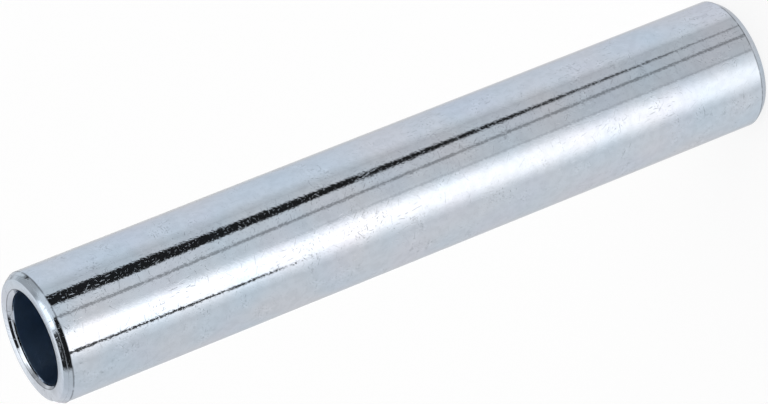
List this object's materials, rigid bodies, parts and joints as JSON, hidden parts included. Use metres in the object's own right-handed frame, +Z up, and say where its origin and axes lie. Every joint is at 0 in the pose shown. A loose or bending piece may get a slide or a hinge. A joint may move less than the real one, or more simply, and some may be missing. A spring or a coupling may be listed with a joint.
{
  "type": "spacer sleeve",
  "caption": "Straight round steel spacer sleeve with a through bore, square faced ends, bevelled outer edges and countersunk bore mouths.",
  "frame": {"origin": "centre of the lower end face, where the sleeve stands", "axes": "+Z up along the bore; X and Y are any two directions across it, because the sleeve is round"},
  "size_m": [0.015, 0.015, 0.09],
  "materials": {
    "zinc_plated_steel": "bright bluish zinc plate, lightly scratched and nicked"
  },
  "bodies": {
    "root": {"spacer_sleeve": "zinc_plated_steel"}
  },
  "joints": []
}
